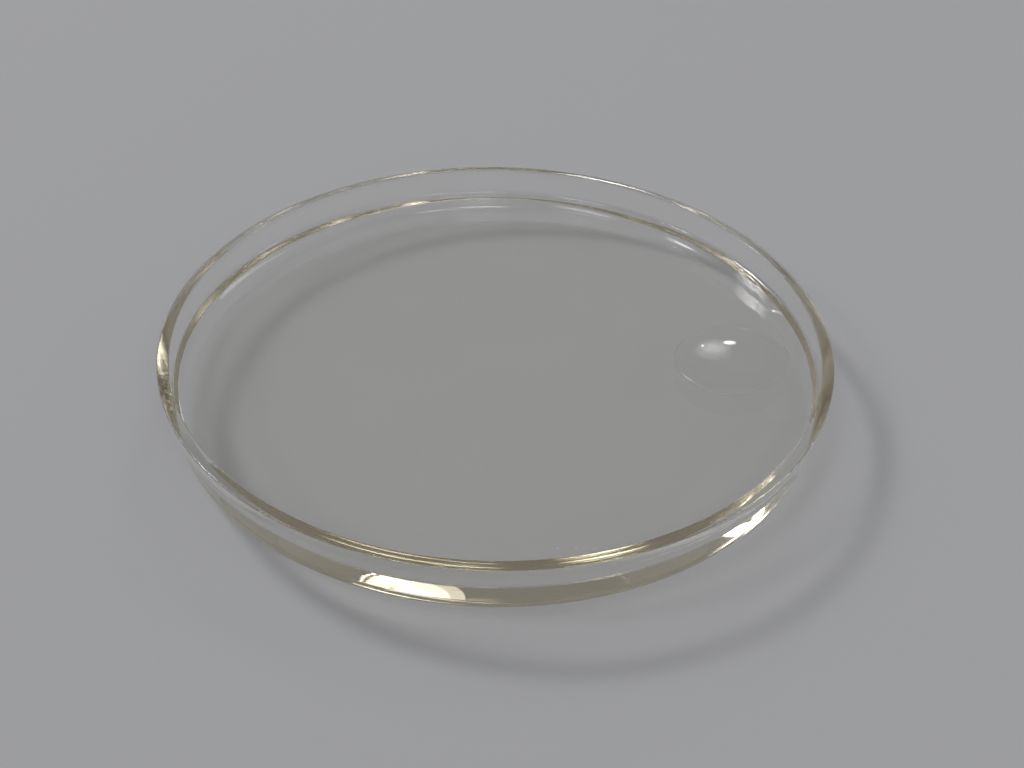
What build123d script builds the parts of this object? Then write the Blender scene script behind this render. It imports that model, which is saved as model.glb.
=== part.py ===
from build123d import *
import os
from math import cos, sin, asin, sqrt

# Clear acrylic watch crystal with a round date magnifier bonded inside it, in millimetres.
# It lies face down: the dome touches the ground at the origin, the open rim faces up along
# +Z, and the magnifier is on the +X side, at three o'clock.

# The crystal: a domed face and a short skirt, moulded and turned in one piece
rim_diameter = 31.0  # outside of the gripping land, the widest place
overall_height = 3.5  # from the top of the dome to the flat lip of the skirt
skirt_thickness = 0.55  # at the lip
land_height = 0.42  # straight part of the outer wall, next to the lip
wall_taper = 0.4  # how far the outer wall draws in from the land to the foot
foot_height = 0.37  # short steep band between the outer wall and the dome
foot_draw = 0.05  # how far that band draws in
dome_rise = 1.0  # from the top of the dome to its edge
face_thickness = 1.16
floor_corner_radius = 0.26  # inside, where the skirt meets the face
lip_edge_radius = 0.09

# The date magnifier: a plano-convex lens
magnifier_diameter = 5.3
magnifier_crown_height = 0.4
magnifier_edge_height = 0.08
magnifier_gap = 1.1  # from the lens's edge to the inside of the skirt

# The clear cement that bonds the lens to the inside of the face
cement_edge_thickness = 0.05
cement_bead_width = 0.06  # what was squeezed out round the lens

# The outer dome is a sphere through its edge, and the inside of the face is parallel to it
rim_radius = rim_diameter / 2
shoulder_radius = rim_radius - wall_taper
dome_edge_radius = shoulder_radius - foot_draw
mouth_radius = rim_radius - skirt_thickness
dome_sphere_radius = (dome_edge_radius**2 + dome_rise**2) / (2 * dome_rise)
floor_sphere_radius = dome_sphere_radius - face_thickness
floor_edge_height = dome_sphere_radius - sqrt(floor_sphere_radius**2 - mouth_radius**2)
skirt_depth = overall_height - floor_edge_height

with BuildPart() as crystal_body:
    with BuildSketch(Plane.XZ) as crystal_section:
        with BuildLine():
            outer_dome = RadiusArc((0, 0), (dome_edge_radius, dome_rise), -dome_sphere_radius)
            outer_wall = Polyline(
                outer_dome @ 1,
                (shoulder_radius, dome_rise + foot_height),
                (rim_radius, overall_height - land_height),
                (rim_radius, overall_height),
            )
            lip = Line(outer_wall @ 1, (mouth_radius, overall_height))
            inner_wall = Line(lip @ 1, (mouth_radius, floor_edge_height))
            inner_face = RadiusArc(inner_wall @ 1, (0, face_thickness), floor_sphere_radius)
            Line(inner_face @ 1, outer_dome @ 0)
        make_face()
        lip_corners = crystal_section.vertices().group_by(Axis.Y)[-1]
        fillet(lip_corners, min(lip_edge_radius, skirt_thickness / 3))
        floor_corner = crystal_section.vertices().sort_by_distance(inner_wall @ 1)[0]
        fillet(floor_corner, min(floor_corner_radius, skirt_depth / 2))
    revolve(axis=Axis.Z)
crystal_body.part.label = "crystal_body"

# The lens sits square on the inside of the face, so it leans with the curve of the face
magnifier_radius = magnifier_diameter / 2
seat_offset = mouth_radius - magnifier_gap - magnifier_radius
seat_tilt = asin(seat_offset / floor_sphere_radius)
seat_height = dome_sphere_radius - floor_sphere_radius * cos(seat_tilt)
lens_section = Plane(
    origin=(seat_offset, 0, seat_height),
    x_dir=(cos(seat_tilt), 0, sin(seat_tilt)),
    z_dir=(0, -1, 0),
)
lens_axis = Axis(lens_section.origin, lens_section.y_dir)
cement_radius = magnifier_radius + cement_bead_width
face_rise_under_cement = floor_sphere_radius - sqrt(floor_sphere_radius**2 - cement_radius**2)
lens_base = face_rise_under_cement + cement_edge_thickness
crown_bottom = lens_base + magnifier_edge_height
crown_top = crown_bottom + magnifier_crown_height
crown_sphere_radius = (magnifier_radius**2 + magnifier_crown_height**2) / (2 * magnifier_crown_height)

with BuildPart() as magnifier_cement:
    with BuildSketch(lens_section):
        with BuildLine():
            on_face = RadiusArc((0, 0), (cement_radius, face_rise_under_cement), -floor_sphere_radius)
            Polyline(on_face @ 1, (cement_radius, lens_base), (0, lens_base), on_face @ 0)
        make_face()
    revolve(axis=lens_axis)
magnifier_cement.part.label = "magnifier_cement"

with BuildPart() as date_magnifier:
    with BuildSketch(lens_section):
        with BuildLine():
            flat_side = Line((0, lens_base), (magnifier_radius, lens_base))
            edge = Line(flat_side @ 1, (magnifier_radius, crown_bottom))
            crown = RadiusArc(edge @ 1, (0, crown_top), -crown_sphere_radius)
            Line(crown @ 1, flat_side @ 0)
        make_face()
    revolve(axis=lens_axis)
date_magnifier.part.label = "date_magnifier"

os.makedirs("parts", exist_ok=True)
for piece in (crystal_body, date_magnifier, magnifier_cement):
    export_step(piece.part, f"parts/{piece.part.label}.step")
    print(piece.part.label, "volume", round(piece.part.volume, 3), "mm3")
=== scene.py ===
import bmesh
import bpy
from math import asin, cos, pi, radians, sin, sqrt
from mathutils import Matrix, Vector


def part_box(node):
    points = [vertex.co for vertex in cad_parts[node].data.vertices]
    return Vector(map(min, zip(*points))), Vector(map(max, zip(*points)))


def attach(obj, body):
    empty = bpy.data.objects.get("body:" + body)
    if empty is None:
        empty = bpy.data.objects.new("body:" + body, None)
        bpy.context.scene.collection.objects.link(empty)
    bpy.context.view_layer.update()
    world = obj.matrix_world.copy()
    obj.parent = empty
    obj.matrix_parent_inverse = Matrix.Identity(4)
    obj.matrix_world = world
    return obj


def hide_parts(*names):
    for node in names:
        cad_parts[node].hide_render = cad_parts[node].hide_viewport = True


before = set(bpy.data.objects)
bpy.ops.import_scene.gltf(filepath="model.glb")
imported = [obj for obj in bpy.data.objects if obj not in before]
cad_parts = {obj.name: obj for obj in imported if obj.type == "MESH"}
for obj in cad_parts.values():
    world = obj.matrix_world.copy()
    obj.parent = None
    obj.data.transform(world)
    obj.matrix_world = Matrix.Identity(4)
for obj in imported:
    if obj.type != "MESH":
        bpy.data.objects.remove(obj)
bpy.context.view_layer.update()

MM = 0.001

# The viewpoint: a close view from in front of the crystal, looking down at it by about 38
# degrees, so that the open rim shows as an ellipse with the lens at the right.
camera_place = Vector((0.19, -45.78, 36.22)) * MM
camera_down = radians(38.34)
camera_heading = radians(-0.71)
camera_roll = radians(1.51)
sensor_width = 36.0
focal_length = 42.22
nearest_seen = 1 * MM
farthest_seen = 10.0

eye = bpy.data.cameras.new("eye")
eye.sensor_width = sensor_width
eye.lens = focal_length
eye.clip_start = nearest_seen
eye.clip_end = farthest_seen
camera = bpy.data.objects.new("camera", eye)
camera.matrix_world = (
    Matrix.Translation(camera_place)
    @ Matrix.Rotation(camera_heading, 4, "Z")
    @ Matrix.Rotation(pi / 2 - camera_down, 4, "X")
    @ Matrix.Rotation(camera_roll, 4, "Z")
)
bpy.context.collection.objects.link(camera)
bpy.context.scene.camera = camera
bpy.context.scene.view_settings.view_transform = "Standard"

# Light runs a long way round inside clear plastic before it comes out, so it may bounce often
most_bounces = 40
cycles = bpy.context.scene.cycles
cycles.max_bounces = most_bounces
cycles.glossy_bounces = most_bounces
cycles.transmission_bounces = most_bounces
cycles.transparent_max_bounces = most_bounces


# The stand-in surface under the crystal: one plain, pale, matt sheet, a little cool in colour.
floor_size = 4.0
floor_colour = (0.38, 0.38, 0.39, 1)
floor_roughness = 0.9

bm = bmesh.new()
bmesh.ops.create_grid(bm, x_segments=1, y_segments=1, size=floor_size / 2)
mesh = bpy.data.meshes.new("floor")
bm.to_mesh(mesh)
bm.free()
floor = bpy.data.objects.new("floor", mesh)
bpy.context.collection.objects.link(floor)

paper = bpy.data.materials.new("pale matt paper")
paper.use_nodes = True
sheet = paper.node_tree.nodes["Principled BSDF"]
sheet.inputs["Base Color"].default_value = floor_colour
sheet.inputs["Roughness"].default_value = floor_roughness
mesh.materials.append(paper)


# The light: soft round lamps, each brightest in its middle, and a low even light from all sides.
# Light from behind and from the left runs across inside the face, and comes out at the near rim.
lamp_distance = 3.0
lamp_rings = (0.45, 0.75, 1.0)
ring_gap = 0.03
room_colour = (0.76, 0.77, 0.79, 1)
room_strength = 0.4


def soft_lamp(name, heading, height, spread, power, mirrored=True, passed=True):
    """A lamp by its compass heading (0 behind, 90 right), height and width in degrees, and watts.
    Polished faces show it where it is mirrored, and the clear body where it is passed on."""
    turn, rise = radians(heading), radians(height)
    way = Vector((cos(rise) * sin(turn), cos(rise) * cos(turn), sin(rise)))
    facing = way.to_track_quat("Z", "Y").to_matrix().to_4x4()
    for part, ring in enumerate(lamp_rings):
        shine = bpy.data.lights.new(f"{name}_{part}", "AREA")
        shine.shape = "DISK"
        shine.size = radians(spread) * lamp_distance * ring
        shine.energy = power * ring**2 / sum(r**2 for r in lamp_rings)
        lamp = bpy.data.objects.new(f"{name}_{part}", shine)
        lamp.visible_glossy = mirrored
        lamp.visible_transmission = passed
        lamp.matrix_world = Matrix.Translation(way * (lamp_distance + part * ring_gap)) @ facing
        bpy.context.collection.objects.link(lamp)


soft_lamp("lamp_back_left", 306, 45, 14, 33)
soft_lamp("lamp_low_left", 310, 36, 10, 2.4)
soft_lamp("lamp_left", 258, 43, 12, 8.5)
soft_lamp("lamp_front_left", 224, 62, 16, 8)
soft_lamp("lamp_front", 171, 55, 16, 7)
soft_lamp("lamp_right", 82, 33, 12, 3.0)
soft_lamp("lamp_front_right", 155, 38, 14, 5)

# The first of the lamps behind shows only through the clear body, and the other two only as the
# bright marks that the far rim mirrors
soft_lamp("lamp_behind", 14, 46.5, 14, 2.6, mirrored=False)
soft_lamp("lamp_far", 5.5, 28.5, 5, 1.5, passed=False)
soft_lamp("lamp_far_spot", 354, 28, 1.6, 0.14, passed=False)

room = bpy.data.worlds.new("room")
room.use_nodes = True
even_light = room.node_tree.nodes["Background"]
even_light.inputs["Color"].default_value = room_colour
even_light.inputs["Strength"].default_value = room_strength
bpy.context.scene.world = room


# The crystal: a domed face and a short skirt, moulded from acrylic in one piece, turned
# to size on the outside and polished all over. Its skirt flares, so that it grips its seat.
rim_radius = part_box("crystal_body")[1][0]
crystal_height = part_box("crystal_body")[1][2]
skirt_thickness = 0.55 * MM
land_height = 0.45 * MM
land_draft = 0.0056 * MM
wall_taper = 0.4 * MM
foot_height = 0.404 * MM
foot_draw = 0.045 * MM
dome_rise = 1.0 * MM
face_thickness = 1.16 * MM
mouth_draft = 0.017 * MM
lip_rounding = 0.052 * MM
floor_corner_rounding = 0.23 * MM
edge_rounding = 0.03 * MM
section_steps = 40
turning_steps = 288
lip_segments = 5
corner_segments = 7
edge_segments = 3

shoulder_radius = rim_radius - wall_taper
shoulder_height = dome_rise + foot_height
land_bottom_radius = rim_radius - land_draft
land_bottom_height = crystal_height - land_height
dome_edge_radius = shoulder_radius - foot_draw
mouth_radius = rim_radius - skirt_thickness
floor_radius = mouth_radius - mouth_draft
dome_sphere = (dome_edge_radius**2 + dome_rise**2) / (2 * dome_rise)
floor_sphere = dome_sphere - face_thickness
floor_edge_height = dome_sphere - sqrt(floor_sphere**2 - floor_radius**2)

# Where the lens is bonded on: square on the inside of the face, near the skirt
lens_radius = 2.65 * MM
lens_gap = 1.1 * MM
bead_width = 0.06 * MM
bond_radius = lens_radius + bead_width
bond_height = floor_sphere - sqrt(floor_sphere**2 - bond_radius**2)
lens_offset = mouth_radius - lens_gap - lens_radius
lens_tilt = asin(lens_offset / floor_sphere)
lens_seat = Vector((lens_offset, 0, dome_sphere - floor_sphere * cos(lens_tilt)))
lens_frame = Matrix.Translation(lens_seat) @ Matrix.Rotation(-lens_tilt, 4, "Y")

# Two vertices nearer than this are one, and a vertex nearer than this to a ring is on it
merge_reach = 0.0005 * MM
ring_reach = 0.002 * MM

# How far the broad faces rule the smooth shading of the edges beside them
broad_face_weight = 80


def arc_of_vertices(bm, start, centre, axis, angle, steps):
    """Spins one vertex about an axis, and gives the last vertex of the arc."""
    made = bmesh.ops.spin(
        bm,
        geom=[bm.verts.new(start)],
        cent=centre,
        axis=axis,
        dvec=(0, 0, 0),
        angle=angle,
        steps=steps,
    )
    return [g for g in made["geom_last"] if isinstance(g, bmesh.types.BMVert)][0]


def joined_up(bm, outline):
    """Joins vertices of a section by straight edges, in order."""
    for start, end in zip(outline, outline[1:]):
        bm.edges.new((start, end))


def turned(bm, steps):
    """Spins the section in bm once round the Z axis into a closed body."""
    bmesh.ops.spin(
        bm,
        geom=bm.verts[:] + bm.edges[:],
        cent=(0, 0, 0),
        axis=(0, 0, 1),
        dvec=(0, 0, 0),
        angle=2 * pi,
        steps=steps,
        use_merge=True,
    )
    bmesh.ops.remove_doubles(bm, verts=bm.verts, dist=merge_reach)
    bmesh.ops.recalc_face_normals(bm, faces=bm.faces)


def round_ring(bm, radius, height, rounding, segments):
    """Rounds one sharp ring of a turned body."""

    def on_ring(v):
        return abs(v.co.z - height) < ring_reach and abs(v.co.xy.length - radius) < ring_reach

    bmesh.ops.bevel(
        bm,
        geom=[e for e in bm.edges if all(on_ring(v) for v in e.verts)],
        offset=rounding,
        offset_type="OFFSET",
        segments=segments,
        profile=0.5,
        affect="EDGES",
        material=-1,
    )


def finished_piece(name, bm):
    """Makes a piece of the object from a bmesh: merged, smooth, with its normals outward and even."""
    bmesh.ops.remove_doubles(bm, verts=bm.verts, dist=merge_reach)
    bmesh.ops.recalc_face_normals(bm, faces=bm.faces)
    for face in bm.faces:
        face.smooth = True
    mesh = bpy.data.meshes.new(name)
    bm.to_mesh(mesh)
    bm.free()
    piece = bpy.data.objects.new(name, mesh)
    bpy.context.collection.objects.link(piece)
    evener = piece.modifiers.new("even normals", "WEIGHTED_NORMAL")
    evener.weight = broad_face_weight
    return piece


bm = bmesh.new()
dome_turn = asin(dome_edge_radius / dome_sphere)
floor_turn = asin(floor_radius / floor_sphere)
sphere_centre = (0, 0, dome_sphere)
dome_edge = arc_of_vertices(bm, (0, 0, 0), sphere_centre, (0, -1, 0), dome_turn, section_steps)
floor_edge = arc_of_vertices(
    bm, (0, 0, face_thickness), sphere_centre, (0, -1, 0), floor_turn, section_steps
)
shoulder = bm.verts.new((shoulder_radius, 0, shoulder_height))
land_bottom = bm.verts.new((land_bottom_radius, 0, land_bottom_height))
lip_outside = bm.verts.new((rim_radius, 0, crystal_height))
lip_inside = bm.verts.new((mouth_radius, 0, crystal_height))
joined_up(bm, (dome_edge, shoulder, land_bottom, lip_outside, lip_inside, floor_edge))
turned(bm, turning_steps)
round_ring(bm, rim_radius, crystal_height, lip_rounding, lip_segments)
round_ring(bm, mouth_radius, crystal_height, lip_rounding, lip_segments)
round_ring(bm, floor_radius, floor_edge_height, floor_corner_rounding, corner_segments)
round_ring(bm, dome_edge_radius, dome_rise, edge_rounding, edge_segments)
round_ring(bm, shoulder_radius, shoulder_height, edge_rounding, edge_segments)
round_ring(bm, land_bottom_radius, land_bottom_height, edge_rounding, edge_segments)
crystal = finished_piece("crystal_moulding", bm)
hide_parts("crystal_body")
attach(crystal, "root")


# How strongly acrylic bends light, and how much lamp light it lets straight through
acrylic_index = 1.49
slant_start = 0.35
straight_through = (0.965, 0.965, 0.96, 1)
at_full_slant = (0.45, 0.44, 0.41, 1)


def added(tree, kind, inputs, **settings):
    """Adds a node to a tree, with its inputs given as plain values or as the outputs they come from."""
    made = tree.nodes.new(kind)
    for name, value in settings.items():
        setattr(made, name, value)
    for socket, value in inputs.items():
        if isinstance(value, bpy.types.NodeSocket):
            tree.links.new(value, made.inputs[socket])
        else:
            made.inputs[socket].default_value = value
    return made


def clear_plastic(name):
    """Polished clear plastic that bends and mirrors all that the eye sees. Light from lamps passes
    straight through it to the floor, dimmed where it meets a surface at a slant."""
    plastic = bpy.data.materials.new(name)
    plastic.use_nodes = True
    tree = plastic.node_tree
    shader = tree.nodes["Principled BSDF"]
    shader.inputs["IOR"].default_value = acrylic_index
    shader.inputs["Transmission Weight"].default_value = 1.0

    slant = added(tree, "ShaderNodeLayerWeight", {}).outputs["Facing"]
    dimming = added(tree, "ShaderNodeValToRGB", {"Fac": slant})
    clearest, dimmest = dimming.color_ramp.elements
    clearest.position = slant_start
    clearest.color = straight_through
    dimmest.position = 1.0
    dimmest.color = at_full_slant
    through = added(
        tree, "ShaderNodeBsdfTransparent", {"Color": dimming.outputs["Color"]}, name="lamp light"
    ).outputs["BSDF"]

    path = added(tree, "ShaderNodeLightPath", {}).outputs
    bounced = added(
        tree,
        "ShaderNodeMixShader",
        {"Fac": path["Is Diffuse Ray"], 1: shader.outputs["BSDF"], 2: through},
    ).outputs["Shader"]
    shaded = added(
        tree,
        "ShaderNodeMixShader",
        {"Fac": path["Is Shadow Ray"], 1: bounced, 2: through},
    ).outputs["Shader"]
    tree.links.new(shaded, tree.nodes["Material Output"].inputs["Surface"])
    return plastic


def tint_through(plastic, colour, density):
    """Gives the body of a clear plastic its faint tint, which shows where light runs far through it."""
    tree = plastic.node_tree
    tint = added(tree, "ShaderNodeVolumeAbsorption", {"Color": colour, "Density": density})
    tree.links.new(tint.outputs["Volume"], tree.nodes["Material Output"].inputs["Volume"])


def sum_of(tree, first, second, operation="ADD"):
    """The sum, or another plain operation, of two node outputs or numbers."""
    return added(tree, "ShaderNodeMath", {0: first, 1: second}, operation=operation).outputs["Value"]


def step_between(tree, value, low, high, reach=1.0):
    """Rises smoothly from 0 to reach as the value goes from low to high."""
    ramp = added(
        tree,
        "ShaderNodeMapRange",
        {"Value": value, "From Min": low, "From Max": high, "To Min": 0.0, "To Max": reach},
        interpolation_type="SMOOTHSTEP",
    )
    return ramp.outputs["Result"]


def noise(tree, where, size, detail=2.0, twist=0.0):
    """Soft noise whose patches are about one size across."""
    made = added(
        tree,
        "ShaderNodeTexNoise",
        {"Vector": where, "Scale": 1 / size, "Detail": detail, "Distortion": twist},
    )
    return made.outputs["Fac"]


# A hairline runs where the stretched noise comes within the reach of the level. Its depth, like the
# depth of every mark on the surface, is in millimetres.
line_level = 0.62
line_reach = 0.012
line_depth = 0.0002
line_haze = 0.05
line_twist = 0.05
noise_per_width = 6
patch_per_length = 1.4
patch_fade = 0.06


def hair_scratches(tree, where, heading, length, width, share):
    """Fine straight hairlines that all run one way, 1 on a line and 0 beside it."""
    laid = added(
        tree,
        "ShaderNodeMapping",
        {"Vector": where, "Rotation": (0, 0, radians(heading)), "Scale": (width / length, 1.0, 0.2)},
    )
    streaks = noise(tree, laid.outputs["Vector"], width * noise_per_width, detail=0.0, twist=line_twist)
    from_line = sum_of(tree, sum_of(tree, streaks, line_level, "SUBTRACT"), 0.0, "ABSOLUTE")
    line = step_between(tree, from_line, line_reach, 0.0)
    patches = noise(tree, where, length * patch_per_length, detail=1.0)
    inside = step_between(tree, patches, 1.0 - share, 1.0 + patch_fade - share)
    return sum_of(tree, line, inside, "MULTIPLY")


wave_size = 2.6 * MM
haze_size = 1.7 * MM
tone_size = 4.5 * MM


def worked_surface(
    plastic, wave_depth, haze, clean_colour, aged_colour, extra_height=None, extra_haze=None
):
    """The marks of making and use: the soft waves of the mould, patches of buffing haze, faint
    hairlines, and a slightly uneven tone."""
    tree = plastic.node_tree
    shader = tree.nodes["Principled BSDF"]
    where = added(tree, "ShaderNodeTexCoord", {}).outputs["Object"]
    lines = sum_of(
        tree,
        hair_scratches(tree, where, heading=24, length=5.0 * MM, width=0.05 * MM, share=0.42),
        hair_scratches(tree, where, heading=-63, length=3.5 * MM, width=0.04 * MM, share=0.40),
        "MAXIMUM",
    )

    waves = sum_of(tree, noise(tree, where, wave_size, detail=1.0), wave_depth / MM, "MULTIPLY")
    cuts = sum_of(tree, lines, -line_depth, "MULTIPLY")
    height = sum_of(tree, waves, cuts)
    if extra_height is not None:
        height = sum_of(tree, height, extra_height)
    relief = added(tree, "ShaderNodeBump", {"Height": height, "Strength": 1.0, "Distance": MM})
    tree.links.new(relief.outputs["Normal"], shader.inputs["Normal"])

    buffed = step_between(tree, noise(tree, where, haze_size, detail=3.0), 0.42, 0.72, haze)
    rough = sum_of(tree, buffed, sum_of(tree, lines, line_haze, "MULTIPLY"))
    if extra_haze is not None:
        rough = sum_of(tree, rough, extra_haze)
    tree.links.new(rough, shader.inputs["Roughness"])

    tone = added(
        tree,
        "ShaderNodeMix",
        {
            "Factor": step_between(tree, noise(tree, where, tone_size, detail=2.0), 0.35, 0.7),
            "A": clean_colour,
            "B": aged_colour,
        },
        data_type="RGBA",
    )
    tree.links.new(tone.outputs["Result"], shader.inputs["Base Color"])


acrylic_tint = (0.42, 0.32, 0.0, 1)
acrylic_density = 28.0
lathe_depth = 0.0002
nick_depth = 0.004
nick_haze = 0.15
lip_haze = 0.07
lip_shade = (0.1, 0.1, 0.095, 1)
lathe_line_width = 0.16 * MM
lathe_line_stretch = 1.5 * MM
lathe_line_start = mouth_radius - 0.3 * MM
lip_top = crystal_height - 0.01 * MM
lip_bottom = crystal_height - 0.12 * MM
nick_size = 0.34 * MM
acrylic = clear_plastic("clear acrylic")
tint_through(acrylic, acrylic_tint, acrylic_density)

# The lathe's fine lines run round the skirt, and its edges at the lip have small worn nicks
tree = acrylic.node_tree
where = added(tree, "ShaderNodeTexCoord", {}).outputs["Object"]
parts = added(tree, "ShaderNodeSeparateXYZ", {"Vector": where}).outputs
level = added(
    tree, "ShaderNodeCombineXYZ", {"X": parts["X"], "Y": parts["Y"], "Z": 0.0}
).outputs["Vector"]
reach = added(tree, "ShaderNodeVectorMath", {0: level}, operation="LENGTH").outputs["Value"]
round_way = added(tree, "ShaderNodeVectorMath", {0: level}, operation="NORMALIZE").outputs["Vector"]
ways = added(tree, "ShaderNodeSeparateXYZ", {"Vector": round_way}).outputs
along = added(
    tree,
    "ShaderNodeCombineXYZ",
    {
        "X": sum_of(tree, ways["X"], lathe_line_stretch, "MULTIPLY"),
        "Y": sum_of(tree, ways["Y"], lathe_line_stretch, "MULTIPLY"),
        "Z": sum_of(tree, reach, parts["Z"]),
    },
).outputs["Vector"]
on_skirt = step_between(tree, reach, lathe_line_start, mouth_radius)
lathe_lines = sum_of(tree, noise(tree, along, lathe_line_width, detail=1.0), on_skirt, "MULTIPLY")
at_lip = step_between(tree, parts["Z"], lip_bottom, lip_top)
from_middle = sum_of(
    tree, sum_of(tree, reach, rim_radius - skirt_thickness / 2, "SUBTRACT"), 0.0, "ABSOLUTE"
)
at_edge = step_between(tree, from_middle, 0.12 * MM, 0.26 * MM)
nicks = step_between(tree, noise(tree, where, nick_size, detail=2.0), 0.6, 0.66)
worn = sum_of(tree, sum_of(tree, nicks, at_edge, "MULTIPLY"), at_lip, "MULTIPLY")

# The lip sends the lamps' light round inside the skirt, and so it leaves a soft dark ring on the floor
lamp_light = tree.nodes["lamp light"].inputs["Color"]
held_back = added(
    tree,
    "ShaderNodeMix",
    {"Factor": at_lip, "A": lamp_light.links[0].from_socket, "B": lip_shade},
    data_type="RGBA",
)
tree.links.new(held_back.outputs["Result"], lamp_light)
worked_surface(
    acrylic,
    wave_depth=0.0012 * MM,
    haze=0.012,
    clean_colour=(0.992, 0.992, 0.988, 1),
    aged_colour=(0.978, 0.975, 0.962, 1),
    extra_height=sum_of(
        tree,
        sum_of(tree, lathe_lines, lathe_depth, "MULTIPLY"),
        sum_of(tree, worn, -nick_depth, "MULTIPLY"),
    ),
    extra_haze=sum_of(
        tree, sum_of(tree, worn, nick_haze, "MULTIPLY"), sum_of(tree, at_lip, lip_haze, "MULTIPLY")
    ),
)
crystal.data.materials.append(acrylic)


# The date magnifier: a small round lens of the same acrylic, flat below and domed above. It
# is moulded and polished by itself, and its flat side is cemented to the inside of the face.
cement_at_edge = 0.05 * MM
lens_base = bond_height + cement_at_edge
lens_edge_height = 0.08 * MM
lens_crown = 0.4 * MM
lens_edge_rounding = 0.02 * MM
crown_steps = 32
lens_turning_steps = 192
flat_reach = 0.001 * MM
crown_sphere = (lens_radius**2 + lens_crown**2) / (2 * lens_crown)
crown_bottom = lens_base + lens_edge_height
crown_top = crown_bottom + lens_crown
crown_turn = asin(lens_radius / crown_sphere)

bm = bmesh.new()
crown_edge = arc_of_vertices(
    bm, (0, 0, crown_top), (0, 0, crown_top - crown_sphere), (0, 1, 0), crown_turn, crown_steps
)
flat_middle = bm.verts.new((0, 0, lens_base))
flat_edge = bm.verts.new((lens_radius, 0, lens_base))
joined_up(bm, (crown_edge, flat_edge, flat_middle))
turned(bm, lens_turning_steps)
for face in bm.faces:
    if face.calc_center_median().z < lens_base + flat_reach:
        face.material_index = 1
round_ring(bm, lens_radius, crown_bottom, lens_edge_rounding, edge_segments)
bmesh.ops.transform(bm, matrix=lens_frame, verts=bm.verts)
lens = finished_piece("magnifier_lens", bm)
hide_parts("date_magnifier")
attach(lens, "root")
lens_acrylic = clear_plastic("lens acrylic")
worked_surface(
    lens_acrylic,
    wave_depth=0.0008 * MM,
    haze=0.01,
    clean_colour=(0.99, 0.99, 0.985, 1),
    aged_colour=(0.975, 0.975, 0.965, 1),
)
lens.data.materials.append(lens_acrylic)

# A face that the cement wets has no shine of its own and can't be seen
bonded = bpy.data.materials.new("bonded face")
bonded.use_nodes = True
bonded.node_tree.nodes["Principled BSDF"].inputs["Alpha"].default_value = 0.0
lens.data.materials.append(bonded)


# The cement: a thin clear film between lens and face, with a fine bead squeezed out all round. The
# lens is pressed into a drop of it, and it cures clear with a few tiny bubbles.
film_gap = 0.002 * MM
film_turn = asin(bond_radius / floor_sphere)
film_steps = 12
broad_side_normal = 0.9
bubble_size = 0.3 * MM
bubble_height = 0.01
bubble_haze = 0.15

bm = bmesh.new()
film_edge = arc_of_vertices(
    bm, (0, 0, film_gap), (0, 0, floor_sphere + film_gap), (0, -1, 0), film_turn, film_steps
)
top_edge = bm.verts.new((bond_radius, 0, lens_base - film_gap))
top_middle = bm.verts.new((0, 0, lens_base - film_gap))
joined_up(bm, (film_edge, top_edge, top_middle))
turned(bm, lens_turning_steps)
for face in bm.faces:
    if abs(face.normal.z) > broad_side_normal:
        face.material_index = 1
bmesh.ops.transform(bm, matrix=lens_frame, verts=bm.verts)
cement = finished_piece("cement_film", bm)
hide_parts("magnifier_cement")
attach(cement, "root")
clear_cement = clear_plastic("clear cement")
tree = clear_cement.node_tree
where = added(tree, "ShaderNodeTexCoord", {}).outputs["Object"]
bubbles = step_between(tree, noise(tree, where, bubble_size, detail=1.0), 0.58, 0.66)
worked_surface(
    clear_cement,
    wave_depth=0.006 * MM,
    haze=0.08,
    clean_colour=(0.98, 0.975, 0.95, 1),
    aged_colour=(0.94, 0.92, 0.85, 1),
    extra_height=sum_of(tree, bubbles, bubble_height, "MULTIPLY"),
    extra_haze=sum_of(tree, bubbles, bubble_haze, "MULTIPLY"),
)
cement.data.materials.append(clear_cement)
cement.data.materials.append(bonded)
